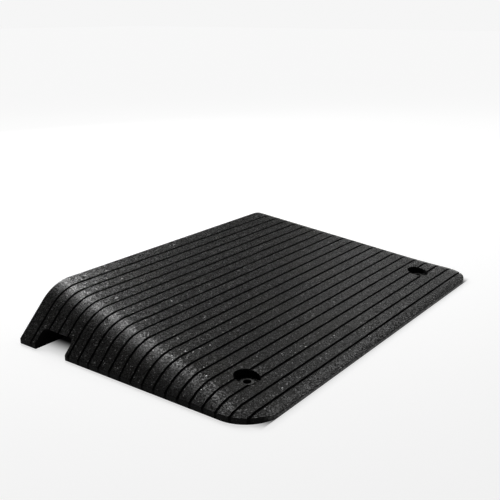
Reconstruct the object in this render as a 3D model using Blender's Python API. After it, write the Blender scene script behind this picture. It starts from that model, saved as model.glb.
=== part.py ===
"""Curb ramp: one crumb-rubber moulding with a grooved tread, and two washers in its fixing recesses.

X runs down the ramp from the kerb face to the toe, Y across it, Z up. The origin is the middle of the
footprint, on the road. Metres throughout.
"""
import math

import bmesh
import bpy
import numpy as np

# The wedge
RAMP_LENGTH = 0.660
RAMP_WIDTH = 1.050
KERB_HEIGHT = 0.118
# Height of the tread's plane above the toe line, and of the toe's own upright edge below it
TREAD_END_HEIGHT = 0.012
TOE_EDGE_HEIGHT = 0.008
# The tread leaves its plane this far before the toe and rolls down to the toe's edge
NOSE_RUN = 0.024

# The two sides: an upright lip, a sloped flank, and a broad round shoulder up to the tread
LIP_HEIGHT = 0.013
FLANK_ANGLE = math.radians(45.0)
SHOULDER_RADIUS = 0.115
TOE_CORNER_RADIUS = 0.082

# Grooves across the tread, laid out from the last one before the toe for as long as there is room
GROOVE_PITCH = 0.0312
LAST_GROOVE_TO_TOE = 0.029
LEAST_LAND_AT_KERB = 0.034
GROOVE_MOUTH_WIDTH = 0.0062
GROOVE_FLOOR_WIDTH = 0.0042
GROOVE_DEPTH = 0.0030

# Drain channel through the full width, behind the foot that stands against the kerb
FOOT_LENGTH = 0.053
CHANNEL_LENGTH = 0.098
CHANNEL_HEIGHT = 0.040
CHANNEL_CORNER_RADIUS = 0.012

# Fixing recesses near the toe corners, each with a bolt hole through its floor
RECESS_RADIUS = 0.0275
RECESS_TO_TOE = 0.111
RECESS_TO_SIDE = 0.126
RECESS_FLOOR_HEIGHT = 0.016

# The bolt that each recess is made for, and the room around it in the rubber and in the washer
BOLT_RADIUS = 0.0080
HOLE_CLEARANCE = 0.0010
WASHER_CLEARANCE = 0.0005

# Flat washer on each recess floor
WASHER_OUTER_RADIUS = 0.015
WASHER_THICKNESS = 0.0030
WASHER_EDGE_ROUND = 0.0004
SEAT_GAP = 0.0003

# Fineness of the facets
SHOULDER_STEPS = 14
LEAST_SHOULDER_REACH = 0.030
CORNER_STEPS = 14
ROUND_SEGMENTS = 48
LEAN_STEP = 0.0005
CHANNEL_CORNER_STEPS = 5
SAME_STATION = 0.00005
CUTTER_OVERRUN = 0.02
SHARP_EDGE_ANGLE = math.radians(24.0)

TREAD_SLOPE = (KERB_HEIGHT - TREAD_END_HEIGHT) / RAMP_LENGTH


def clear_scene():
    """Remove every object that the scene holds."""
    for obj in list(bpy.data.objects):
        bpy.data.objects.remove(obj, do_unlink=True)


def material(name, color, roughness, metallic):
    """A Principled material in one colour."""
    mat = bpy.data.materials.new(name)
    mat.use_nodes = True
    shader = mat.node_tree.nodes["Principled BSDF"]
    shader.inputs["Base Color"].default_value = (*color, 1.0)
    shader.inputs["Roughness"].default_value = roughness
    shader.inputs["Metallic"].default_value = metallic
    mat.diffuse_color = (*color, 1.0)
    return mat


def tread_height(down):
    """Tread height at a distance down the ramp: a sloping plane, less a parabola over the nose."""
    plane = KERB_HEIGHT - TREAD_SLOPE * down
    into_nose = max(0.0, down - (RAMP_LENGTH - NOSE_RUN)) / NOSE_RUN
    return plane - (TREAD_END_HEIGHT - TOE_EDGE_HEIGHT) * into_nose ** 2


def side_inset(down):
    """How far the outline has drawn in from the ramp's side: a quarter circle at the toe corner."""
    into_corner = max(0.0, down - (RAMP_LENGTH - TOE_CORNER_RADIUS))
    return TOE_CORNER_RADIUS - math.sqrt(max(0.0, TOE_CORNER_RADIUS ** 2 - into_corner ** 2))


def inside_distance(down, across):
    """Distance in from the outline, where across counts from the nearer side of the ramp."""
    into_corner = down - (RAMP_LENGTH - TOE_CORNER_RADIUS)
    if into_corner <= 0.0 or across >= TOE_CORNER_RADIUS:
        return min(across, RAMP_LENGTH - down)
    return TOE_CORNER_RADIUS - math.hypot(into_corner, TOE_CORNER_RADIUS - across)


def across_at(down, inset):
    """The reverse of inside_distance: how far across the section lies this far in from the outline."""
    into_corner = max(0.0, down - (RAMP_LENGTH - TOE_CORNER_RADIUS))
    if into_corner == 0.0:
        return inset
    if TOE_CORNER_RADIUS - inset <= into_corner:
        return TOE_CORNER_RADIUS
    return TOE_CORNER_RADIUS - math.sqrt((TOE_CORNER_RADIUS - inset) ** 2 - into_corner ** 2)


def shoulder_end(down):
    """The inset where the shoulder's arc ends on top, in the section at this station.

    The arc touches the flank's line and the tread's level. Low down the ramp no flank is left, and the
    arc is cut off by the lip.
    """
    rise = max(0.0, tread_height(down) - LIP_HEIGHT)
    corner_inset = rise / math.tan(FLANK_ANGLE)
    arc_end = corner_inset + SHOULDER_RADIUS * math.tan(FLANK_ANGLE / 2)
    if arc_end >= SHOULDER_RADIUS * math.sin(FLANK_ANGLE):
        return arc_end
    return math.sqrt(SHOULDER_RADIUS ** 2 - (SHOULDER_RADIUS - rise) ** 2)


def surface_height(down, across):
    """Height of the smooth skin: flank, then shoulder arc, then tread."""
    top = tread_height(down)
    inset = inside_distance(down, across)
    arc_end = shoulder_end(down)
    if inset >= arc_end:
        return top
    arc_start = arc_end - SHOULDER_RADIUS * math.sin(FLANK_ANGLE)
    if inset <= arc_start:
        return LIP_HEIGHT + inset * math.tan(FLANK_ANGLE)
    return top - SHOULDER_RADIUS + math.sqrt(SHOULDER_RADIUS ** 2 - (arc_end - inset) ** 2)


def groove_centres():
    """Distance down the ramp of each groove's middle, from the toe up to the kerb."""
    last = RAMP_LENGTH - LAST_GROOVE_TO_TOE
    spaces = int((last - LEAST_LAND_AT_KERB) / GROOVE_PITCH)
    return [last - index * GROOVE_PITCH for index in range(spaces + 1)]


def groove_share(down):
    """1 on a groove's floor, 0 on the land between grooves, and a straight ramp on its walls."""
    wall = (GROOVE_MOUTH_WIDTH - GROOVE_FLOOR_WIDTH) / 2
    off_centre = min(abs(down - centre) for centre in groove_centres())
    return min(1.0, max(0.0, (GROOVE_MOUTH_WIDTH / 2 - off_centre) / wall))


def grooved_height(down, across):
    """Skin height with the groove cut square to the skin, so that it stays as deep on the flank.

    The groove ends open, as a notch in the lip.
    """
    height = surface_height(down, across)
    share = groove_share(down)
    if share <= 0.0:
        return height
    lean = (surface_height(down, across + LEAN_STEP) - height) / LEAN_STEP
    return height - GROOVE_DEPTH * share * math.hypot(1.0, lean)


def stations():
    """Distances down the ramp where a section is drawn: groove edges, nose and toe corner."""
    marks = [0.0, RAMP_LENGTH - TOE_CORNER_RADIUS, RAMP_LENGTH - NOSE_RUN, RAMP_LENGTH - NOSE_RUN / 2]
    for centre in groove_centres():
        for half in (GROOVE_MOUTH_WIDTH / 2, GROOVE_FLOOR_WIDTH / 2):
            marks += [centre - half, centre + half]
    for step in range(1, CORNER_STEPS + 1):
        turn = math.pi / 2 * step / CORNER_STEPS
        marks.append(RAMP_LENGTH - TOE_CORNER_RADIUS * (1.0 - math.sin(turn)))
    kept = []
    for mark in sorted(marks):
        if 0.0 <= mark <= RAMP_LENGTH and (not kept or mark - kept[-1] > SAME_STATION):
            kept.append(mark)
    return kept


def section(down):
    """One closed section as (across, height) points, from one side of the ramp to the other.

    Each side has its own point on the road, and even steps from the lip over flank and arc.
    """
    outline = side_inset(down)
    reach = max(across_at(down, shoulder_end(down)), outline + LEAST_SHOULDER_REACH)
    half = [(outline, 0.0)]
    for step in range(SHOULDER_STEPS + 1):
        across = outline + (reach - outline) * step / SHOULDER_STEPS
        half.append((across, grooved_height(down, across)))
    other = [(RAMP_WIDTH - across, height) for across, height in reversed(half)]
    return half + other


def skin_mesh():
    """The whole wedge as one tube of sections, closed at the kerb face and at the toe."""
    mesh = bmesh.new()
    loops = []
    for down in stations():
        x = down - RAMP_LENGTH / 2
        points = [(x, across - RAMP_WIDTH / 2, height) for across, height in section(down)]
        loops.append([mesh.verts.new(point) for point in points])
    count = len(loops[0])
    for near, far in zip(loops, loops[1:]):
        for index in range(count):
            following = (index + 1) % count
            mesh.faces.new((near[index], near[following], far[following], far[index]))
    mesh.faces.new(list(reversed(loops[0])))
    mesh.faces.new(loops[-1])
    return finished(mesh, "ramp_body")


def finished(mesh, name):
    """Turn a bmesh into mesh data with its normals out, shaded smooth across its gentle edges."""
    bmesh.ops.recalc_face_normals(mesh, faces=mesh.faces)
    data = bpy.data.meshes.new(name)
    mesh.to_mesh(data)
    mesh.free()
    data.shade_smooth()
    data.set_sharp_from_angle(angle=SHARP_EDGE_ANGLE)
    return data


def add_object(name, data, mat=None):
    """Link a mesh as an object, with its material."""
    obj = bpy.data.objects.new(name, data)
    bpy.context.collection.objects.link(obj)
    if mat is not None:
        data.materials.append(mat)
    return obj


def upright_cylinder(radius, low, high):
    """A closed cylinder along Z between two heights."""
    mesh = bmesh.new()
    bmesh.ops.create_cone(mesh, cap_ends=True, segments=ROUND_SEGMENTS, radius1=radius, radius2=radius,
                          depth=high - low)
    bmesh.ops.translate(mesh, verts=mesh.verts, vec=(0.0, 0.0, (low + high) / 2))
    return finished(mesh, "cylinder")


def channel_mesh():
    """The drain channel's room: a tunnel profile with round upper corners, drawn across the ramp."""
    start = FOOT_LENGTH - RAMP_LENGTH / 2
    end = start + CHANNEL_LENGTH
    radius = min(CHANNEL_CORNER_RADIUS, CHANNEL_HEIGHT / 2, CHANNEL_LENGTH / 2)
    profile = [(start, -CUTTER_OVERRUN)]
    for centre, first in ((start + radius, math.pi), (end - radius, math.pi / 2)):
        for step in range(CHANNEL_CORNER_STEPS + 1):
            turn = first - math.pi / 2 * step / CHANNEL_CORNER_STEPS
            x = centre + radius * math.cos(turn)
            profile.append((x, CHANNEL_HEIGHT - radius + radius * math.sin(turn)))
    profile.append((end, -CUTTER_OVERRUN))
    reach = RAMP_WIDTH / 2 + CUTTER_OVERRUN
    mesh = bmesh.new()
    face = mesh.faces.new([mesh.verts.new((x, -reach, z)) for x, z in profile])
    extruded = bmesh.ops.extrude_face_region(mesh, geom=[face])["geom"]
    moved = [item for item in extruded if isinstance(item, bmesh.types.BMVert)]
    bmesh.ops.translate(mesh, verts=moved, vec=(0.0, 2 * reach, 0.0))
    return finished(mesh, "channel")


def cut(body, name, data, place=(0.0, 0.0, 0.0)):
    """Take a cutter's room out of the body."""
    cutter = add_object(name, data)
    cutter.location = place
    cutter.hide_render = True
    cutter.display_type = "WIRE"
    boolean = body.modifiers.new(name, "BOOLEAN")
    boolean.operation = "DIFFERENCE"
    boolean.solver = "EXACT"
    boolean.object = cutter


def fixing_places():
    """The two recess centres, named as seen by someone who rides up to the kerb."""
    x = RAMP_LENGTH / 2 - RECESS_TO_TOE
    y = RAMP_WIDTH / 2 - RECESS_TO_SIDE
    return {"right": (x, -y), "left": (x, y)}


def make_body(mat):
    """The rubber moulding, with its channel, recesses and bolt holes cut."""
    body = add_object("ramp_body", skin_mesh(), mat)
    cut(body, "channel_cutter", channel_mesh())
    for side, (x, y) in fixing_places().items():
        recess = upright_cylinder(RECESS_RADIUS, RECESS_FLOOR_HEIGHT, KERB_HEIGHT)
        cut(body, f"recess_cutter_{side}", recess, (x, y, 0.0))
        hole = upright_cylinder(BOLT_RADIUS + HOLE_CLEARANCE, -CUTTER_OVERRUN, KERB_HEIGHT)
        cut(body, f"hole_cutter_{side}", hole, (x, y, 0.0))
    return body


def washer_mesh():
    """A flat ring standing on its own origin, its outer edges rounded over, turned about Z."""
    inner = BOLT_RADIUS + WASHER_CLEARANCE
    outer = WASHER_OUTER_RADIUS
    high = WASHER_THICKNESS
    edge = min(WASHER_EDGE_ROUND, high / 3)
    profile = [(inner, 0.0), (inner, high), (outer - edge, high)]
    profile += [(outer, high - edge), (outer, edge), (outer - edge, 0.0)]
    mesh = bmesh.new()
    rings = []
    for turn in np.arange(ROUND_SEGMENTS) * 2 * math.pi / ROUND_SEGMENTS:
        rings.append([mesh.verts.new((r * math.cos(turn), r * math.sin(turn), z)) for r, z in profile])
    for ring, after in zip(rings, rings[1:] + rings[:1]):
        for point in range(len(profile)):
            following = (point + 1) % len(profile)
            mesh.faces.new((ring[point], ring[following], after[following], after[point]))
    return finished(mesh, "fixing_washer")


def make_washers(mat):
    """One washer on the floor of each recess, both from the same mesh."""
    data = washer_mesh()
    data.materials.append(mat)
    for side, (x, y) in fixing_places().items():
        washer = add_object(f"fixing_washer_{side}", data)
        washer.location = (x, y, RECESS_FLOOR_HEIGHT + SEAT_GAP)


def main():
    """Build the ramp and its washers."""
    clear_scene()
    rubber = material("crumb_rubber", (0.035, 0.034, 0.033), 0.80, 0.0)
    zinc = material("zinc_plated_steel", (0.42, 0.42, 0.41), 0.45, 1.0)
    make_body(rubber)
    make_washers(zinc)


main()
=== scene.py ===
# %% [markdown]
# A rubber curb ramp
#
# The real object is one heavy moulding of black crumb rubber: granules of ground tyre, pressed with a
# binder in a hot mould. Wheels roll over its grooved tread from the road to the kerb. Two recesses near the
# toe take bolts, and each has a steel washer on its floor.
#
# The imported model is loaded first, as a fixed frame. Every size that it can give is read from it, so that
# the fine surfaces made here lie exactly where the solids are.

# %% Load the frame
import math

import bmesh
import bpy
import numpy as np
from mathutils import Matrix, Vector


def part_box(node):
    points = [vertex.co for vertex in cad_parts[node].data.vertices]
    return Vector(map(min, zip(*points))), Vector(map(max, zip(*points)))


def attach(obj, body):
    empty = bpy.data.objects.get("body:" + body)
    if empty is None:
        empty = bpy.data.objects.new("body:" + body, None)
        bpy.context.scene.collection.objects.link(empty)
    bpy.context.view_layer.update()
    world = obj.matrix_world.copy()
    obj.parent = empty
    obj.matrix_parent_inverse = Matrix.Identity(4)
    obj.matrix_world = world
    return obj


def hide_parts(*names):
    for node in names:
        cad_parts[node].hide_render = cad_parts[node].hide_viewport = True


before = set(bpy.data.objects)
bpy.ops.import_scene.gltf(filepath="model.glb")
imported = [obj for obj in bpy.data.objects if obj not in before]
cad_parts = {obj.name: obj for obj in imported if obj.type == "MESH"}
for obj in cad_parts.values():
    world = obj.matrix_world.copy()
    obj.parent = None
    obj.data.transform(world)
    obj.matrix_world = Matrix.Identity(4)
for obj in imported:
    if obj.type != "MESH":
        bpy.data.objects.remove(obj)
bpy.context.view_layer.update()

# %% [markdown]
# Sizes
#
# X runs down the ramp, from the kerb at the negative end to the toe, and Y runs across it. Most shapes
# below are worked out from two simpler coordinates: *down*, the distance from the kerb face, and *across*,
# the distance from one side. The overall sizes and the places of the washers come from the frame. The rest
# are the mould maker's sizes: groove, lip, flank and shoulder.

# %% The sizes of the moulding
LOW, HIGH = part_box("ramp_body")
LENGTH = HIGH.x - LOW.x
WIDTH = HIGH.y - LOW.y
KERB_HEIGHT = HIGH.z
TREAD_END_HEIGHT = 0.012
TOE_EDGE_HEIGHT = 0.008
NOSE_RUN = 0.024
SLOPE = (KERB_HEIGHT - TREAD_END_HEIGHT) / LENGTH

LIP_HEIGHT = 0.013
FLANK_ANGLE = math.radians(45.0)
SHOULDER_RADIUS = 0.115
TOE_CORNER_RADIUS = 0.082

GROOVE_PITCH = 0.0312
LAST_GROOVE_TO_TOE = 0.029
LEAST_LAND_AT_KERB = 0.034
GROOVE_MOUTH_WIDTH = 0.0062
GROOVE_FLOOR_WIDTH = 0.0042
GROOVE_DEPTH = 0.0030

EDGE_ROLL = 0.0009
KERB_EDGE_ROLL = 0.0020
ROAD_EDGE_ROLL = 0.0010

print(f"ramp {LENGTH * 1000:.0f} x {WIDTH * 1000:.0f} x {KERB_HEIGHT * 1000:.0f} mm")

# %% [markdown]
# The skin as a formula
#
# The smooth upper skin could be sculpted or lofted by hand, but every part of it is a simple rule: a
# sloping plane for the tread, a parabola for the nose, a straight flank, and a round shoulder that touches
# both. Written as a height over the footprint, the whole skin is one function of *down* and *inset*, where
# inset is the distance in from the nearest edge of the outline. The toe corners come by themselves, because
# inset follows their quarter circles.


# %% Tread, outline and inset
def tread_height(down):
    """A plane that falls by SLOPE, less a parabola over the last stretch before the toe."""
    into_nose = np.clip((down - (LENGTH - NOSE_RUN)) / NOSE_RUN, 0.0, None)
    return KERB_HEIGHT - SLOPE * down - (TREAD_END_HEIGHT - TOE_EDGE_HEIGHT) * into_nose ** 2


def rolled_off(distance, size):
    """What a rounded edge has lost at this distance from it.

    Size times the square of: one less the root of distance over size.
    """
    return size * (1.0 - np.sqrt(np.clip(distance / size, 0.0, 1.0))) ** 2


def outline_across(down):
    """Where the outline lies across the ramp.

    At the toe: radius less the root of radius squared less the distance into the corner squared.
    At the kerb: a small roll, as in rolled_off().
    """
    into_corner = np.clip(down - (LENGTH - TOE_CORNER_RADIUS), 0.0, None)
    corner = TOE_CORNER_RADIUS - np.sqrt(np.clip(TOE_CORNER_RADIUS ** 2 - into_corner ** 2, 0.0, None))
    return corner + rolled_off(down, EDGE_ROLL)


def inset_at(down, across):
    """Distance in from the outline: to the side or the toe, or to the arc inside the corner's square."""
    into_corner = down - (LENGTH - TOE_CORNER_RADIUS)
    straight = np.minimum(across, LENGTH - down)
    arc = TOE_CORNER_RADIUS - np.hypot(into_corner, TOE_CORNER_RADIUS - across)
    inside_square = (into_corner > 0.0) & (across < TOE_CORNER_RADIUS)
    return np.clip(np.where(inside_square, arc, straight), 0.0, None)


def across_at(down, inset):
    """The reverse of inset_at: how far across a station lies at this inset."""
    into_corner = np.clip(down - (LENGTH - TOE_CORNER_RADIUS), 0.0, None)
    inner_radius = TOE_CORNER_RADIUS - inset
    arc = TOE_CORNER_RADIUS - np.sqrt(np.clip(inner_radius ** 2 - into_corner ** 2, 0.0, None))
    return np.where(into_corner > 0.0, arc, inset)


print(f"the tread falls {SLOPE * 1000:.0f} mm in a metre")


# %% Flank and shoulder
def shoulder_end(down):
    """The inset where the shoulder's arc ends on the tread.

    High up the arc touches the flank's line: the rise's run plus radius times the tangent of half the
    flank's angle. Low down no flank is left and the lip cuts the arc off: the root of radius squared less
    (radius less rise) squared.
    """
    rise = np.clip(tread_height(down) - LIP_HEIGHT, 0.0, None)
    touching = rise / math.tan(FLANK_ANGLE) + SHOULDER_RADIUS * math.tan(FLANK_ANGLE / 2)
    cut_off = np.sqrt(np.clip(SHOULDER_RADIUS ** 2 - (SHOULDER_RADIUS - rise) ** 2, 0.0, None))
    return np.where(touching >= SHOULDER_RADIUS * math.sin(FLANK_ANGLE), touching, cut_off)


def skin_height(down, inset):
    """Flank: lip height plus inset times the flank's slope. Shoulder: a circle. Tread: the plane."""
    top = tread_height(down)
    arc_end = shoulder_end(down)
    arc_start = arc_end - SHOULDER_RADIUS * math.sin(FLANK_ANGLE)
    flank = LIP_HEIGHT + inset * math.tan(FLANK_ANGLE)
    half_chord = np.sqrt(np.clip(SHOULDER_RADIUS ** 2 - (arc_end - inset) ** 2, 0.0, None))
    arc = top - SHOULDER_RADIUS + half_chord
    return np.where(inset >= arc_end, top, np.where(inset <= arc_start, flank, arc))


print(f"at the kerb the shoulder ends {float(shoulder_end(0.0)) * 1000:.0f} mm in from the side")

# %% [markdown]
# Grooves
#
# The tread's grooves keep wheels and shoes from slipping in the wet. In the mould they are thin ribs, a
# little narrower at the floor so that the rubber comes free. A groove is subtracted from the skin's height:
# full depth on its floor, none on the land, and half a cosine wave between, which rounds the mouth and the
# floor in one stroke. On the flank the depth is divided by the cosine of the slope, so that it stays the
# same measured square to the skin.


# %% Groove profile
def groove_centres():
    """Distances down the ramp, from the last groove before the toe up to the kerb, one pitch apart."""
    last = LENGTH - LAST_GROOVE_TO_TOE
    count = int((last - LEAST_LAND_AT_KERB) / GROOVE_PITCH) + 1
    return last - GROOVE_PITCH * np.arange(count)


def groove_share(down):
    """1 on the floor, 0 on the land, and half a cosine wave from one to the other."""
    off_centre = np.abs(down[..., None] - groove_centres()).min(axis=-1)
    wall = (GROOVE_MOUTH_WIDTH - GROOVE_FLOOR_WIDTH) / 2
    into_wall = np.clip((off_centre - GROOVE_FLOOR_WIDTH / 2) / wall, 0.0, 1.0)
    return 0.5 + 0.5 * np.cos(math.pi * into_wall)


def groove_drop(down, inset):
    """Depth times share, over the cosine of the skin's slope. It ends open, as a notch in the lip."""
    step = 0.0005
    lean = (skin_height(down, inset + step) - skin_height(down, inset)) / step
    return GROOVE_DEPTH * groove_share(down) * np.hypot(1.0, lean)


print(len(groove_centres()), "grooves")

# %% [markdown]
# The moulding as a grid
#
# The footprint is covered with a grid of stations down the ramp and rows across it. An even grid would
# waste its points on the flat lands and still step over a groove wall, so the stations crowd where the
# shape turns: at the groove walls, at the kerb edge, and round the toe corner. The rows crowd on the
# rolled edge over the lip and on the shoulder.

# %% Stations down the ramp
CORNER_STEPS = 30
NOSE_STEPS = 6
ROLL_STEPS = 4
WALL_STEPS = 7
SAME_STATION = 0.00008
# Two lines on the land beside a groove, and two behind the kerb's edge, keep the shading there flat
BESIDE_MOUTH = np.array([0.0003, 0.0015])
BEHIND_KERB_EDGE = np.array([0.004, 0.020])


def groove_marks():
    """Distances from a groove's middle: the middle, steps up the wall, and the two lines on the land."""
    wall = np.linspace(GROOVE_FLOOR_WIDTH, GROOVE_MOUTH_WIDTH, WALL_STEPS + 1) / 2
    return np.concatenate([[0.0], wall, GROOVE_MOUTH_WIDTH / 2 + BESIDE_MOUTH])


def stations():
    """All distances down the ramp where the grid has a line."""
    steps = np.arange(ROLL_STEPS + 1) / ROLL_STEPS
    turns = np.linspace(0.0, math.pi / 2, CORNER_STEPS + 1)
    marks = [
        KERB_EDGE_ROLL * steps ** 2,
        BEHIND_KERB_EDGE,
        (groove_centres()[:, None] + np.concatenate([-groove_marks(), groove_marks()])).ravel(),
        groove_centres() - GROOVE_PITCH / 2,
        LENGTH - TOE_CORNER_RADIUS * (1.0 - np.sin(turns)),
        np.linspace(LENGTH - NOSE_RUN, LENGTH - EDGE_ROLL, NOSE_STEPS + 1),
        LENGTH - EDGE_ROLL * steps ** 2,
    ]
    line = np.unique(np.clip(np.concatenate(marks), 0.0, LENGTH))
    far_enough = np.diff(line) > SAME_STATION
    return line[np.concatenate([[True], far_enough[:-1], [True]])]


print(len(stations()), "stations")

# %% Rows across it, and the grid
FLANK_STEPS = 44
TREAD_STEPS = 6
LEAST_REACH = 0.030


def half_rows(down):
    """Distances across for one half: the rolled edge, then flank and shoulder, then the tread."""
    outline = outline_across(down)
    roll = EDGE_ROLL * (np.arange(ROLL_STEPS + 1) / ROLL_STEPS) ** 2
    edge = np.maximum(across_at(down, roll), outline + roll)
    reach = np.maximum(across_at(down, shoulder_end(down)), outline + LEAST_REACH)
    shares = np.arange(1, FLANK_STEPS + 1) / FLANK_STEPS
    flank = edge[:, -1:] + (reach - edge[:, -1:]) * shares
    shares = np.arange(1, TREAD_STEPS + 1) / TREAD_STEPS
    tread = reach + (WIDTH / 2 - reach) * shares
    return np.concatenate([edge, flank, tread], axis=1)


def finished_height(down, inset):
    """Skin less the groove, less the rolls of the outline's edge and of the kerb's edge."""
    height = skin_height(down, inset) - groove_drop(down, inset)
    return height - rolled_off(inset, EDGE_ROLL) - rolled_off(down, KERB_EDGE_ROLL)


def moulding_grid():
    """Points (stations, rows, 3) of the upper skin."""
    line = stations()[:, None]
    half = half_rows(line)
    near = np.concatenate([half, half[:, -2::-1]], axis=1)
    across = np.concatenate([half, WIDTH - half[:, -2::-1]], axis=1)
    down = np.broadcast_to(line, near.shape)
    height = finished_height(down, inset_at(down, near))
    return np.stack([down + LOW.x, across + LOW.y, height], axis=-1)


skin = moulding_grid()
print("points of the skin, stations by rows:", skin.shape[0], "by", skin.shape[1])

# %% [markdown]
# From grid to closed body
#
# The skin ends in a loop around the footprint. The walls are that loop lowered to the road, with its last
# ring drawn in a little, because no moulded edge is knife sharp. The underside joins the two sides station
# by station. Everything is built with the faces turning the same way, so the normals point out without
# being recalculated.


# %% Faces of a grid, and a mesh from arrays
def grid_faces(index):
    """Quads between the neighbours of a two-way array of point numbers."""
    corners = [index[:-1, :-1], index[1:, :-1], index[1:, 1:], index[:-1, 1:]]
    return np.stack(corners, axis=-1).reshape(-1, 4)


def mesh_object(name, points, faces):
    """A linked object with smooth faces, from an array of points and lists of point numbers."""
    mesh = bpy.data.meshes.new(name)
    mesh.from_pydata(points.reshape(-1, 3).tolist(), [], faces)
    mesh.shade_smooth()
    obj = bpy.data.objects.new(name, mesh)
    bpy.context.scene.collection.objects.link(obj)
    print(f"{name}: {len(mesh.vertices)} points, {len(mesh.polygons)} faces")
    return obj


# %% The outer body
ROAD_EDGE_RINGS = 4


def wall_rings(loop):
    """The loop lowered to the road edge's roll, and the rings of that roll, drawn in square to the loop."""
    along = np.roll(loop, -1, axis=0)[:, :2] - np.roll(loop, 1, axis=0)[:, :2]
    along /= np.linalg.norm(along, axis=1, keepdims=True)
    inward = np.stack([-along[:, 1], along[:, 0]], axis=1)
    rings = []
    for turn in np.linspace(0.0, math.pi / 2, ROAD_EDGE_RINGS):
        ring = loop.copy()
        ring[:, :2] += inward * ROAD_EDGE_ROLL * (1.0 - math.cos(turn))
        ring[:, 2] = ROAD_EDGE_ROLL * (1.0 - math.sin(turn))
        rings.append(ring)
    return rings


def outer_body(points):
    """Skin, walls and underside as one closed mesh."""
    lines, rows = points.shape[:2]
    index = np.arange(lines * rows).reshape(lines, rows)
    loop = np.concatenate([index[:, 0], index[-1, 1:], index[-2::-1, -1], index[0, -2:0:-1]])
    rings = wall_rings(points.reshape(-1, 3)[loop])
    size = len(loop)
    numbers = [loop] + [lines * rows + size * k + np.arange(size) for k in range(len(rings))]
    around = np.stack(numbers)
    around = np.concatenate([around, around[:, :1]], axis=1)
    faces = grid_faces(index).tolist() + grid_faces(around)[:, ::-1].tolist()
    # The underside: quads from side to side, then one face along the toe and one along the kerb
    last = around[-1]
    near = last[:lines]
    far = last[lines + rows - 2:2 * lines + rows - 2][::-1]
    faces += grid_faces(np.stack([near, far]))[:, ::-1].tolist()
    faces.append(last[lines - 1:lines + rows - 1][::-1].tolist())
    faces.append(last[2 * lines + rows - 3:][::-1].tolist())
    return mesh_object("rubber_moulding", np.concatenate([points.reshape(-1, 3)] + rings), faces)


moulding = outer_body(skin)

# %% [markdown]
# Channel and recesses
#
# Water in the gutter has to pass under the ramp, so a channel runs through it behind the foot that stands
# against the kerb. The two recesses each have a bolt hole through the floor. These are rooms taken out of
# the body with a Boolean. A plain cutter leaves knife edges, which no rubber moulding has, so each cutter
# is made with a rolled mouth: its surface turns outwards just before it leaves the skin.

# %% Sizes of the rooms
FOOT_LENGTH = 0.053
CHANNEL_LENGTH = 0.098
CHANNEL_HEIGHT = 0.040
CHANNEL_CORNER_RADIUS = 0.012
RECESS_RADIUS = 0.0275
RECESS_FLOOR_HEIGHT = 0.016
RECESS_FLOOR_CORNER = 0.0015
HOLE_RADIUS = 0.0090
MOUTH_ROLL = 0.0014
# A roll makes this share of its turn: it stops just short of the skin, which it would only graze
MOUTH_SHARE = 0.9
MOUTH_POINTS = 7
CUTTER_OVERRUN = 0.015
WASHERS = {side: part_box(f"fixing_washer_{side}") for side in ("left", "right")}

print(f"channel {CHANNEL_LENGTH * 1000:.0f} x {CHANNEL_HEIGHT * 1000:.0f} mm")
print(f"{len(WASHERS)} recesses {RECESS_RADIUS * 2000:.0f} mm across")

# %% The channel's cross-section
CHANNEL_CORNER_POINTS = 12
# The wall has a point this far below the lip's top and one this far above it, because its mouth bends there
BESIDE_LIP_TOP = 0.001


def channel_profile():
    """Points (x, z) of the channel, and the normals into the rubber.

    Up one wall, round the corner as a quarter circle and, mirrored, back down the other wall.
    """
    start = LOW.x + FOOT_LENGTH
    end = start + CHANNEL_LENGTH
    radius = CHANNEL_CORNER_RADIUS
    turns = np.linspace(math.pi, math.pi / 2, CHANNEL_CORNER_POINTS)
    round_way = np.stack([np.cos(turns), np.sin(turns)], axis=1)
    heights = np.array([-CUTTER_OVERRUN, LIP_HEIGHT - BESIDE_LIP_TOP, LIP_HEIGHT + BESIDE_LIP_TOP])
    wall = np.stack([np.full(len(heights), start), heights], axis=1)
    centre = np.array([start + radius, CHANNEL_HEIGHT - radius])
    points = np.concatenate([wall, centre + radius * round_way])
    normals = np.concatenate([np.tile([-1.0, 0.0], (len(heights), 1)), round_way])
    mirrored = points[::-1] * [-1.0, 1.0] + [start + end, 0.0]
    return np.concatenate([points, mirrored]), np.concatenate([normals, normals[::-1] * [-1.0, 1.0]])


# %% The channel's cutter
# Past its roll a mouth runs straight on by this many of the roll's radii
MOUTH_RUN_ON = 2


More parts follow.
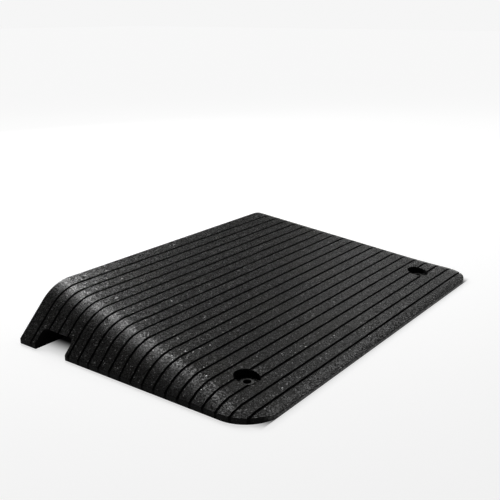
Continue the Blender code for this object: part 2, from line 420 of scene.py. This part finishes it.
def mouth_rows(points, normals):
    """The mouth as a ball rolling along the edge between channel and skin.

    The ball's centre is one radius inside both. Its surface turns from the channel's side to the skin's by
    spherical interpolation: sine of the angle left times one direction, plus sine of the angle gone times
    the other, over the sine of the whole angle.
    """
    side = LOW.y
    height = points[:, 1] + MOUTH_ROLL * normals[:, 1]
    on_lip = np.full(len(points), side + MOUTH_ROLL)
    on_flank = side + (height - LIP_HEIGHT) / math.tan(FLANK_ANGLE) + MOUTH_ROLL / math.sin(FLANK_ANGLE)
    ball_x = points[:, 0] + MOUTH_ROLL * normals[:, 0]
    centre = np.stack([ball_x, np.maximum(on_lip, on_flank), height], axis=1)
    lip_way = np.array([0.0, -1.0, 0.0])
    flank_way = np.array([0.0, -math.sin(FLANK_ANGLE), math.cos(FLANK_ANGLE)])
    out = np.where((on_flank > on_lip)[:, None], flank_way, lip_way)
    into = -np.stack([normals[:, 0], np.zeros(len(normals)), normals[:, 1]], axis=1)
    whole = np.arccos(np.sum(into * out, axis=1))[:, None]
    rows = []
    for share in np.linspace(0.0, MOUTH_SHARE, MOUTH_POINTS):
        way = (np.sin((1.0 - share) * whole) * into + np.sin(share * whole) * out) / np.sin(whole)
        rows.append(centre + MOUTH_ROLL * way)
    onward = (rows[-1] - rows[-2]) / np.linalg.norm(rows[-1] - rows[-2], axis=1, keepdims=True)
    rows.append(rows[-1] + onward * MOUTH_RUN_ON * MOUTH_ROLL)
    outside = rows[-1].copy()
    outside[:, 1] = side - CUTTER_OVERRUN
    rows.append(outside)
    return np.stack(rows[::-1])


def closed_cutter(name, rows):
    """A closed body from rows of points: each row is a loop, and the first and last are capped."""
    lines, count = rows.shape[:2]
    index = np.arange(lines * count).reshape(lines, count)
    around = np.concatenate([index, index[:, :1]], axis=1)
    faces = grid_faces(around).tolist() + [index[0].tolist(), index[-1].tolist()]
    cutter = mesh_object(name, rows, faces)
    mesh = bmesh.new()
    mesh.from_mesh(cutter.data)
    bmesh.ops.recalc_face_normals(mesh, faces=mesh.faces)
    mesh.to_mesh(cutter.data)
    mesh.free()
    return cutter


near_mouth = mouth_rows(*channel_profile())
far_mouth = near_mouth[::-1] * [1.0, -1.0, 1.0]
channel_cutter = closed_cutter("channel_cutter", np.concatenate([near_mouth, far_mouth]))

# %% The recesses' cutters
ROUND_SEGMENTS = 96
FLOOR_CORNER_POINTS = 5
# Past its roll the rim runs on by this many of the roll's last steps
RIM_RUN_ON = 3


def recess_profile(top):
    """Points of radius and height, from the bolt hole outwards.

    Up the hole, over the floor, a quarter circle up to the wall, and the mouth's roll out over the rim.
    """
    corner = np.linspace(-math.pi / 2, 0.0, FLOOR_CORNER_POINTS)
    roll = np.linspace(0.0, MOUTH_SHARE * math.pi / 2, MOUTH_POINTS)
    hole = [[HOLE_RADIUS, -CUTTER_OVERRUN], [HOLE_RADIUS, RECESS_FLOOR_HEIGHT]]
    inner = RECESS_RADIUS - RECESS_FLOOR_CORNER
    floor = np.stack([inner + RECESS_FLOOR_CORNER * np.cos(corner),
                      RECESS_FLOOR_HEIGHT + RECESS_FLOOR_CORNER * (1.0 + np.sin(corner))], axis=1)
    rim = np.stack([RECESS_RADIUS + MOUTH_ROLL * (1.0 - np.cos(roll)),
                    top - MOUTH_ROLL * (1.0 - np.sin(roll))], axis=1)
    onward = rim[-1] + (rim[-1] - rim[-2]) * RIM_RUN_ON
    above = [onward[0], top + CUTTER_OVERRUN]
    return np.concatenate([hole, floor, rim, [onward, above]])


def turned(profile, x, y, shear=0.0):
    """A profile of radius and height turned about the upright axis at (x, y).

    Along X and Y: radius times the cosine and the sine of the turn. The height is less the shear times the
    distance along X.
    """
    turns = np.arange(ROUND_SEGMENTS) * 2 * math.pi / ROUND_SEGMENTS
    radius, height = profile[:, :1], profile[:, 1:]
    off_x = radius * np.cos(turns)
    return np.stack([x + off_x, y + radius * np.sin(turns), height - shear * off_x], axis=-1)


def recess_cutter(name, x, y):
    """The turned profile, its rim sheared to lie along the sloping tread.

    The shear grows from nothing at the floor to the tread's slope at the rim.
    """
    top = float(tread_height(x - LOW.x))
    profile = recess_profile(top)
    share = np.clip((profile[:, 1:] - RECESS_FLOOR_HEIGHT) / (top - RECESS_FLOOR_HEIGHT), 0.0, 1.0)
    return closed_cutter(name, turned(profile, x, y, share * SLOPE))


recess_cutters = []
for side, (low, high) in WASHERS.items():
    middle = (low + high) / 2
    recess_cutters.append(recess_cutter(f"recess_cutter_{side}", middle.x, middle.y))

# %% Take the rooms out
CREASE_ANGLE = math.radians(40.0)


def take_out(body, cutters):
    """Subtract each cutter, keep the result as the body's own mesh, and remove the cutters."""
    for cutter in cutters:
        boolean = body.modifiers.new(cutter.name, "BOOLEAN")
        boolean.operation = "DIFFERENCE"
        boolean.solver = "EXACT"
        boolean.object = cutter
    evaluated = body.evaluated_get(bpy.context.evaluated_depsgraph_get())
    result = bpy.data.meshes.new_from_object(evaluated)
    body.modifiers.clear()
    body.data = result
    for cutter in cutters:
        bpy.data.objects.remove(cutter)


take_out(moulding, [channel_cutter] + recess_cutters)
moulding.data.shade_smooth()
moulding.data.set_sharp_from_angle(angle=CREASE_ANGLE)
print("moulding with its rooms:", len(moulding.data.polygons), "faces")

# %% [markdown]
# Polished and bare rubber, with painted shade
#
# The upper skin takes a slight polish from the mould and from wheels. The groove floors, the walls of
# channel and recesses, and the underside stay as they were pressed: bare, open grains that reflect almost
# nothing. Their colour is also darkened there, which is painted shade in the grooves, channel and recesses.
# The lip and the recess floors lie between the two, and on the lip too the darkening is painted shade, along
# the foot of the sides. A number on each point says which is which, and the finish reads it. It could be
# painted by hand, but it follows from the place: a point below the skin is bare and shaded, and one on the
# outline is partly so. The toe is the exception: there the lip is polished and its painted shade fades out,
# where more light falls on the toe's face.

# %% How bare each point is, and how much painted shade it takes
BELOW_SKIN = 0.0002
# Over this stretch before the toe the lip's painted shade fades out, where more light falls on the toe's
# face
LIP_SHADE_FADE_AT_TOE = 0.010
# Shares of bare rubber, and so of painted shade, on the recess floors and on the lip
RECESS_FLOOR_BARE_AND_SHADE = 0.15
LIP_BARE_AND_SHADE = 0.30
# A point lies on the outline or on the kerb face if it is nearer than this share of the edge's roll
OUTLINE_SHARE = 0.6
KERB_FACE_SHARE = 0.1


def bare_and_shade_share(points):
    """How far the rubber is left unpolished, and so how much painted shade darkens it: 1 is as pressed, 0 is
    polished.

    Inside the outline: 1 below the skin, RECESS_FLOOR_BARE_AND_SHADE on the recess floors, else the groove's
    share.
    On the outline: the groove's share or, where that is more, the lip's, which falls to 0 over the last
    LIP_SHADE_FADE_AT_TOE before the toe, where more light falls. The kerb face is 0, because it lay against
    the mould's flat end.
    LIP_SHADE_FADE_AT_TOE before the toe. The kerb face is 0, because it lay against the mould's flat end.
    """
    down = points[:, 0] - LOW.x
    inset = inset_at(down, np.minimum(points[:, 1] - LOW.y, HIGH.y - points[:, 1]))
    below = points[:, 2] < finished_height(down, inset) - BELOW_SKIN
    on_recess_floor = below & (np.abs(points[:, 2] - RECESS_FLOOR_HEIGHT) < BELOW_SKIN)
    inside = np.where(below, 1.0, groove_share(down))
    inside = np.where(on_recess_floor, RECESS_FLOOR_BARE_AND_SHADE, inside)
    to_toe = np.clip((LENGTH - down) / LIP_SHADE_FADE_AT_TOE, 0.0, 1.0)
    on_outline = inset < EDGE_ROLL * OUTLINE_SHARE
    on_kerb_face = down < KERB_EDGE_ROLL * KERB_FACE_SHARE
    edge = np.where(on_kerb_face, 0.0, np.maximum(LIP_BARE_AND_SHADE * to_toe, groove_share(down)))
    return np.where(on_outline | on_kerb_face, edge, inside)


def write_bare_and_shade(obj):
    """Put the share on the mesh as a point attribute."""
    points = np.empty(len(obj.data.vertices) * 3, np.float32)
    obj.data.vertices.foreach_get("co", points)
    share = bare_and_shade_share(points.reshape(-1, 3).astype(float)).astype(np.float32)
    obj.data.attributes.new("bare_and_shade", "FLOAT", "POINT").data.foreach_set("value", share)
    print(f"bare points: {(share > 0.5).sum()} of {len(share)}")


write_bare_and_shade(moulding)

# %% [markdown]
# Washers
#
# Each recess has a flat zinc-plated washer, which spreads the bolt's load over the soft rubber. A stamped
# washer isn't a plain ring: the punch rounds its upper edges and leaves the lower ones crisp. It is a
# profile turned about the bolt's axis, in the room that the frame's washer holds.

# %% Washer shape
WASHER_BORE_RADIUS = 0.0085
STAMPED_EDGE = 0.0006
CRISP_EDGE = 0.00015
WASHER_EDGE_POINTS = 5
WASHER_CREASE_ANGLE = math.radians(50.0)


def rounded_corner(r, z, size, way_r, way_z):
    """A quarter circle that rounds the corner (r, z) of a profile.

    The size times one less the sine of the turn along way_r, and times one less the cosine along way_z.
    Both ways point into the metal.
    """
    turns = np.linspace(0.0, math.pi / 2, WASHER_EDGE_POINTS)
    off_r = way_r * size * (1.0 - np.sin(turns))
    off_z = way_z * size * (1.0 - np.cos(turns))
    return np.stack([r + off_r, z + off_z], axis=1)


def washer_piece(name, low, high):
    """The turned ring: inner lower corner, inner upper, outer upper, outer lower."""
    middle = (low + high) / 2
    outer = (high.x - low.x) / 2
    profile = np.concatenate([
        rounded_corner(WASHER_BORE_RADIUS, low.z, CRISP_EDGE, 1, 1)[::-1],
        rounded_corner(WASHER_BORE_RADIUS, high.z, STAMPED_EDGE, 1, -1),
        rounded_corner(outer, high.z, STAMPED_EDGE, -1, -1)[::-1],
        rounded_corner(outer, low.z, CRISP_EDGE, -1, 1),
    ])
    rings = turned(profile, middle.x, middle.y)
    index = np.arange(rings[..., 0].size).reshape(rings.shape[:2])
    index = np.concatenate([index, index[:1]], axis=0)
    index = np.concatenate([index, index[:, :1]], axis=1)
    obj = mesh_object(name, rings, grid_faces(index).tolist())
    obj.data.set_sharp_from_angle(angle=WASHER_CREASE_ANGLE)
    return obj


washers = [washer_piece(f"washer_{side}", low, high) for side, (low, high) in WASHERS.items()]

# %% [markdown]
# Shader maths as Python
#
# A procedural finish is a small calculation. Wiring it node by node hides the calculation, so a socket is
# wrapped in a class whose operators add the Math nodes. Anything else goes through one function, add_node.


# %% A wrapped socket
class Field:
    """A value that varies over a surface. Arithmetic on it adds Math nodes."""

    def __init__(self, tree, output):
        self.tree = tree
        self.output = output

    def also(self, name):
        """Another output of the same node."""
        return Field(self.tree, self.output.node.outputs[name])

    def math(self, operation, *values):
        """One Math node with these values, in this order."""
        return add_node(self.tree, "ShaderNodeMath", {"operation": operation}, dict(enumerate(values)))

    def __add__(self, other):
        return self.math("ADD", self, other)

    def __sub__(self, other):
        return self.math("SUBTRACT", self, other)

    def __mul__(self, other):
        return self.math("MULTIPLY", self, other)

    def __radd__(self, other):
        return self.math("ADD", other, self)

    def __rsub__(self, other):
        return self.math("SUBTRACT", other, self)

    def __rmul__(self, other):
        return self.math("MULTIPLY", other, self)

    def __abs__(self):
        return self.math("ABSOLUTE", self)

    def at_least(self, other):
        """The larger of the two."""
        return self.math("MAXIMUM", self, other)

    def between(self, low, high):
        """0 below low and 1 above high, with a smooth step between. The two may come in either order."""
        settings = {"interpolation_type": "SMOOTHSTEP"}
        values = {"Value": self, "From Min": low, "From Max": high}
        return add_node(self.tree, "ShaderNodeMapRange", settings, values)


# %% Any node, a blend of colours, noise, and a new finish
def add_node(tree, kind, settings, values, output=0):
    """Any node: its settings first, then the values or links of its sockets. Gives one output back."""
    node = tree.nodes.new(kind)
    for name, setting in settings.items():
        setattr(node, name, setting)
    for key, value in values.items():
        if isinstance(value, Field):
            tree.links.new(value.output, node.inputs[key])
        else:
            node.inputs[key].default_value = value
    return Field(tree, node.outputs[output])


def blended(tree, share, first, second):
    """The first colour where share is 0 and the second where it is 1."""
    mix = {"data_type": "RGBA"}
    # A mix of colours takes them in its sockets 6 and 7, and gives its output 2
    return add_node(tree, "ShaderNodeMix", mix, {0: share, 6: first, 7: second}, output=2)


def noise(tree, place, scale, detail):
    """Soft noise with this many waves to the metre and this many finer layers."""
    return add_node(tree, "ShaderNodeTexNoise", {}, {"Vector": place, "Scale": scale, "Detail": detail})


def new_finish(name):
    """An empty material, its tree, and its Principled shader."""
    finish = bpy.data.materials.new(name)
    finish.use_nodes = True
    return finish, finish.node_tree, finish.node_tree.nodes["Principled BSDF"]


# %% [markdown]
# Crumb rubber
#
# Up close the rubber is a pavement of ground tyre, grains of one to three millimetres in a black binder.
# Each grain has its own grey and its own share of shine, and leans its own way. One in twenty-five is pale
# and steep, which makes the scattered sparks along the shoulder. A cell pattern gives each grain its random
# values, and the same cells drive colour, shine and bump.

# %% The rubber's sizes, colours and ranges
GRAIN = 0.0023
GRAIN_LEAN = 0.24
SPARK_LEAN = 3.0
FINE_GRAIN = 0.0011
FINE_HEIGHT = 0.00010
PATCH = 0.16

RUBBER_DARK = (0.0095, 0.0094, 0.0092, 1.0)
RUBBER_LIGHT = (0.038, 0.0375, 0.0365, 1.0)
RUBBER_WARM = (0.030, 0.0288, 0.0240, 1.0)
PALE_GRAIN = (0.32, 0.32, 0.315, 1.0)
# Bare rubber's darker colours are painted shade in the grooves, channel, recesses and on the lip
PAINTED_SHADE_DARK = (0.006, 0.006, 0.006, 1.0)
PAINTED_SHADE_LIGHT = (0.014, 0.014, 0.014, 1.0)
FINE_SHARE = 0.2
WARM_SHARE = 0.5

# In each pair a share is 0 at the first value and 1 at the second
BARE_AND_SHADE_RANGE = (0.08, 0.35)
SPARK_RANGE = (0.95, 0.97)
WARM_RANGE = (0.45, 0.75)
# From the rim of a pale grain to its middle, in cells
PALE_RANGE = (0.60, 0.35)
# Wider than a grain's random number, from 0 to 1, so that no plain grain is all shine or all dull
DULL_RANGE = (1.2, -0.2)

# The polish, what the grain's tone and the fine grain add to it, and how much smoother a spark is
POLISH_ROUGHNESS = 0.21
TONE_ROUGHNESS = 0.08
FINE_ROUGHNESS = 0.05
SPARK_SMOOTHNESS = 0.12
BARE_ROUGHNESS = 0.9
BARE_SPECULAR = 0.04

print(f"grains of {GRAIN * 1000:.1f} mm in patches of {PATCH * 1000:.0f} mm")


# %% The rubber's finish
def leaning_grains(tree, place, cells):
    """Height of grain faces, each leaning its own way.

    The way from the grain's centre, dotted with a random way, times GRAIN_LEAN.
    """
    subtract = {"operation": "SUBTRACT"}
    half = (0.5, 0.5, 0.5)
    off_centre = add_node(tree, "ShaderNodeVectorMath", subtract, {0: place, 1: cells.also("Position")})
    either_way = add_node(tree, "ShaderNodeVectorMath", subtract, {0: cells.also("Color"), 1: half})
    dot = {"operation": "DOT_PRODUCT"}
    along = add_node(tree, "ShaderNodeVectorMath", dot, {0: off_centre, 1: either_way}, output="Value")
    return along * GRAIN_LEAN


def crumb_rubber():
    """Grains in a cell pattern, wide patches of a warmer tone, and grain faces that lean their own way.

    The shine and the dull ground are two shaders over the same pattern, and each grain mixes them in its
    own share. Bare rubber is dull all over, and its colour is darkened as painted shade.
    """
    finish, tree, polished = new_finish("crumb_rubber_grains")
    place = add_node(tree, "ShaderNodeTexCoord", {}, {}, output="Object")
    voronoi = {"voronoi_dimensions": "3D", "feature": "F1"}
    cells = add_node(tree, "ShaderNodeTexVoronoi", voronoi, {"Vector": place, "Scale": 1 / GRAIN})
    tone = add_node(tree, "ShaderNodeSeparateColor", {}, {"Color": cells.also("Color")})
    gloss = tone.also("Green")
    pick = tone.also("Blue")
    fine = noise(tree, place, scale=1 / FINE_GRAIN, detail=2.0)
    patch = noise(tree, place, scale=1 / PATCH, detail=3.0)
    bare_and_shade = add_node(tree, "ShaderNodeAttribute", {"attribute_name": "bare_and_shade"}, {}, output="Fac")
    bare_and_shade = bare_and_shade.between(*BARE_AND_SHADE_RANGE)
    spark = pick.between(*SPARK_RANGE)
    dull = bare_and_shade.at_least(gloss.between(*DULL_RANGE) * (1 - spark))

    colour = blended(tree, tone * (1 - FINE_SHARE) + fine * FINE_SHARE, RUBBER_DARK, RUBBER_LIGHT)
    colour = blended(tree, patch.between(*WARM_RANGE) * WARM_SHARE, colour, RUBBER_WARM)
    colour = blended(tree, spark * cells.between(*PALE_RANGE), colour, PALE_GRAIN)
    # Where the rubber is bare its colour darkens: painted shade
    colour_with_painted_shade = blended(tree, bare_and_shade, colour, blended(tree, tone, PAINTED_SHADE_DARK, PAINTED_SHADE_LIGHT))
    roughness = POLISH_ROUGHNESS + TONE_ROUGHNESS * tone + FINE_ROUGHNESS * fine - SPARK_SMOOTHNESS * spark
    height = leaning_grains(tree, place, cells) * (1 + spark * SPARK_LEAN) + fine * FINE_HEIGHT
    bump = add_node(tree, "ShaderNodeBump", {}, {"Strength": 1.0, "Distance": 1.0, "Height": height})

    tree.links.new(colour.output, polished.inputs["Base Color"])
    tree.links.new(roughness.output, polished.inputs["Roughness"])
    tree.links.new(bump.output, polished.inputs["Normal"])
    dull_shader = add_node(tree, "ShaderNodeBsdfPrincipled", {}, {
        "Base Color": colour_with_painted_shade,
        "Roughness": BARE_ROUGHNESS,
        "Normal": bump,
        "Specular IOR Level": BARE_SPECULAR,
    })
    shine = Field(tree, polished.outputs["BSDF"])
    surface = add_node(tree, "ShaderNodeMixShader", {}, {0: dull, 1: shine, 2: dull_shader})
    tree.links.new(surface.output, tree.nodes["Material Output"].inputs["Surface"])
    return finish


rubber = crumb_rubber()
moulding.data.materials.clear()
moulding.data.materials.append(rubber)
print(rubber.name, "has", len(rubber.node_tree.nodes), "nodes")

# %% [markdown]
# Zinc plating
#
# New zinc is bright, but a washer at the bottom of a rubber recess soon dulls: a grey bloom with road dust
# in it. Its grey is also kept far darker than zinc's own, as painted shade from the recess round it. Faint
# rings are left by the stamping. The rings follow the distance from the bolt's axis, so each washer gets
# its own centre through a Mapping node.

# %% The washers' finish
# The zinc's grey and its bloom are darkened as painted shade from the recess; the dust specks are real
SHADED_ZINC_GREY = (0.085, 0.085, 0.083, 1.0)
SHADED_ZINC_BLOOM = (0.045, 0.045, 0.0435, 1.0)
ROAD_DUST = (0.05, 0.048, 0.045, 1.0)
DUST_SHARE = 0.7
BLOOM_SCALE = 220.0
DUST_SCALE = 1400.0
RING_SCALE = 700.0
BLOOM_RANGE = (0.35, 0.65)
DUST_RANGE = (0.62, 0.70)
ZINC_ROUGHNESS = 0.50
BLOOM_ROUGHNESS = 0.22
RING_ROUGHNESS = 0.06
STAMPING_DEPTH = 0.0001


def shaded_dull_zinc(name, centre):
    """Grey metal darkened as painted shade, with a cloudy bloom, specks of dust, and fine rings about the
    centre.
    """
    finish, tree, shader = new_finish(name)
    place = add_node(tree, "ShaderNodeTexCoord", {}, {}, output="Object")
    to_centre = {"Vector": place, "Location": (-centre.x, -centre.y, 0.0)}
    centred = add_node(tree, "ShaderNodeMapping", {}, to_centre)
    cloud = noise(tree, centred, scale=BLOOM_SCALE, detail=4.0)
    speck = noise(tree, centred, scale=DUST_SCALE, detail=2.0)
    rings = {"wave_type": "RINGS", "rings_direction": "Z"}
    wave = {"Vector": centred, "Scale": RING_SCALE, "Distortion": 1.5}
    ring = add_node(tree, "ShaderNodeTexWave", rings, wave, output="Fac")
    bloom = cloud.between(*BLOOM_RANGE)
    colour = blended(tree, bloom, SHADED_ZINC_GREY, SHADED_ZINC_BLOOM)
    colour = blended(tree, speck.between(*DUST_RANGE) * DUST_SHARE, colour, ROAD_DUST)
    roughness = ZINC_ROUGHNESS + BLOOM_ROUGHNESS * bloom + RING_ROUGHNESS * ring
    relief = {"Strength": 0.25, "Distance": STAMPING_DEPTH, "Height": ring + speck}
    bump = add_node(tree, "ShaderNodeBump", {}, relief)
    tree.links.new(colour.output, shader.inputs["Base Color"])
    tree.links.new(roughness.output, shader.inputs["Roughness"])
    tree.links.new(bump.output, shader.inputs["Normal"])
    shader.inputs["Metallic"].default_value = 1.0
    return finish


for piece, (side, (low, high)) in zip(washers, WASHERS.items()):
    piece.data.materials.append(shaded_dull_zinc(f"shaded_dull_zinc_{side}", (low + high) / 2))
print("dull zinc on", *[piece.name for piece in washers])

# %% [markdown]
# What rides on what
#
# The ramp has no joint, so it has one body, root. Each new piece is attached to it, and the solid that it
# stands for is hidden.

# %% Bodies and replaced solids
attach(moulding, "root")
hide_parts("ramp_body")
for piece, side in zip(washers, WASHERS):
    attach(piece, "root")
    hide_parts(f"fixing_washer_{side}")
print("pieces:", moulding.name, *[piece.name for piece in washers])

# %% [markdown]
# Studio
#
# Black rubber shows its shape only by what it reflects. The softboxes stand in an arc from behind the kerb
# end round to the far side, so that they draw the soft band of light along the near shoulder and leave the
# flank in the dark, as in the photograph.
#
# The floor is white to the camera and to reflections, and it still takes the shadow. Its glow stops under
# the ramp, as painted shade, so that the drain channel is dark inside. The sky is white to the camera. In
# reflections only its lowest part is, where it meets the floor: a white sky overhead would turn black rubber
# grey.

# %% Floor
WHITE = (1.0, 1.0, 1.0, 1.0)
PAPER_GREY = (0.45, 0.45, 0.45, 1.0)
FLOOR_REACH = 30.0
# Strength of the floor's own light close to the ramp and far from it, and the distances where these hold
GLOW_NEAR = 0.70
GLOW_FAR = 0.92
NEAR_FLOOR = 0.6
FAR_FLOOR = 4.0
# How far inside the ramp's side the glow starts to fade into painted shade, and where it is gone
GLOW_EDGE = 0.010
GLOW_END = 0.072


def ray_kinds(tree):
    """Three values that are 1 for one kind of ray and 0 for others: camera, glossy and transmission."""
    seen = add_node(tree, "ShaderNodeLightPath", {}, {}, output="Is Camera Ray")
    return seen, seen.also("Is Glossy Ray"), seen.also("Is Transmission Ray")


def floor_glow(tree):
    """Strength of the paper's own light by place.

    It rises from GLOW_NEAR to GLOW_FAR as the lamps' light runs out with the distance, and it falls to
    nothing under the ramp with the distance in from the sides, which is painted shade.
    """
    place = add_node(tree, "ShaderNodeTexCoord", {}, {}, output="Object")
    distance = add_node(tree, "ShaderNodeVectorMath", {"operation": "LENGTH"}, {0: place}, output="Value")
    open_floor = GLOW_NEAR + distance.between(NEAR_FLOOR, FAR_FLOOR) * (GLOW_FAR - GLOW_NEAR)
    down = add_node(tree, "ShaderNodeSeparateXYZ", {}, {"Vector": place})
    across = down.also("Y")
    beside = abs(across).between(WIDTH / 2 - GLOW_END, WIDTH / 2 - GLOW_EDGE)
    beyond = abs(down).between(LENGTH / 2 - EDGE_ROLL, LENGTH / 2)
    return open_floor * beside.at_least(beyond)


def studio_floor():
    """A wide plane at road level: pale paper that adds its own light for the camera and reflections."""
    square = np.array([[-1.0, -1.0, 0.0], [1.0, -1.0, 0.0], [1.0, 1.0, 0.0], [-1.0, 1.0, 0.0]])
    floor = mesh_object("studio_floor", FLOOR_REACH * square, [[0, 1, 2, 3]])
    finish, tree, shader = new_finish("white_paper")
    shader.inputs["Base Color"].default_value = PAPER_GREY
    shader.inputs["Roughness"].default_value = 0.9
    shader.inputs["Specular IOR Level"].default_value = 0.0
    seen, mirrored, through = ray_kinds(tree)
    shown = (seen + mirrored + through) * floor_glow(tree)
    glow = add_node(tree, "ShaderNodeEmission", {}, {"Color": WHITE, "Strength": shown})
    both = add_node(tree, "ShaderNodeAddShader", {}, {0: Field(tree, shader.outputs["BSDF"]), 1: glow})
    tree.links.new(both.output, tree.nodes["Material Output"].inputs["Surface"])
    floor.data.materials.append(finish)


studio_floor()

# %% Sky
DIM_SKY = 0.03
# The sky's white in reflections fades between these heights of its direction, from 0 level to 1 overhead
WHITE_SKY_TOP = 0.05
DIM_SKY_START = 0.17


def studio_sky():
    """A plain sky: dim as a lamp, white to the camera, and white low down in reflections."""
    world = bpy.data.worlds.new("studio_sky")
    world.use_nodes = True
    tree = world.node_tree
    seen, mirrored, through = ray_kinds(tree)
    way = add_node(tree, "ShaderNodeTexCoord", {}, {}, output="Generated")
    upward = add_node(tree, "ShaderNodeSeparateXYZ", {}, {"Vector": way}, output="Z")
    shown = seen + through + mirrored * upward.between(DIM_SKY_START, WHITE_SKY_TOP)
    level = DIM_SKY + shown * (GLOW_FAR - DIM_SKY)
    tree.links.new(level.output, tree.nodes["Background"].inputs["Strength"])
    tree.nodes["Background"].inputs["Color"].default_value = WHITE
    bpy.context.scene.world = world
    print(f"{world.name}: {DIM_SKY} as a lamp, {GLOW_FAR} to the camera")


studio_sky()

# %% Softboxes
LAMP_DISTANCE = 3.0
LAMP_TARGET = Vector((0.0, 0.0, 0.05))
# Name, azimuth and elevation in degrees, width and height in metres, power in watts
SOFTBOXES = [
    ("softbox_kerb", 161, 30, 1.0, 0.7, 36.0),
    ("softbox_kerb_middle", 166, 45, 0.7, 0.7, 14.0),
    ("softbox_kerb_high", 152, 58, 0.7, 0.7, 20.0),
    ("softbox_behind", 105, 30, 0.7, 0.7, 2.5),
    ("softbox_far", 85, 44, 0.7, 0.7, 5.5),
    ("softbox_far_low", 95, 10, 0.7, 0.7, 2.5),
    ("softbox_toe_high", 85, 58, 0.7, 0.7, 7.5),
]


def softbox(name, azimuth, elevation, width, height, power):
    """An area lamp in this direction from the ramp, turned to face it. Azimuth counts from +X to +Y."""
    lamp = bpy.data.lights.new(name, "AREA")
    lamp.shape = "RECTANGLE"
    lamp.size = width
    lamp.size_y = height
    lamp.energy = power
    obj = bpy.data.objects.new(name, lamp)
    bpy.context.scene.collection.objects.link(obj)
    turn = math.radians(azimuth)
    rise = math.radians(elevation)
    way = Vector((math.cos(rise) * math.cos(turn), math.cos(rise) * math.sin(turn), math.sin(rise)))
    obj.location = way * LAMP_DISTANCE
    obj.rotation_euler = (LAMP_TARGET - obj.location).to_track_quat("-Z", "Y").to_euler()


for box in SOFTBOXES:
    softbox(*box)
print(len(SOFTBOXES), "softboxes")

# %% [markdown]
# Camera
#
# The camera stands where the photographer's did. Its place and lens were worked out from the ramp's own
# edges in the photograph, so that render and photograph lie over each other.

# %% The photograph's camera
FOCAL_PIXELS = 759.6
IMAGE_SIDE = 500
SENSOR = 36.0
CAMERA_PLACE = (1.0314, -1.4924, 0.7188)
CAMERA_DOWN = math.radians(17.370)
CAMERA_TURN = math.radians(36.380)

lens = bpy.data.cameras.new("camera")
lens.sensor_width = SENSOR
lens.lens = FOCAL_PIXELS / IMAGE_SIDE * SENSOR
camera = bpy.data.objects.new("camera", lens)
bpy.context.scene.collection.objects.link(camera)
camera.location = CAMERA_PLACE
camera.rotation_euler = (math.pi / 2 - CAMERA_DOWN, 0.0, CAMERA_TURN)
bpy.context.scene.camera = camera
bpy.context.scene.view_settings.view_transform = "Standard"
print(f"lens {lens.lens:.2f} mm")
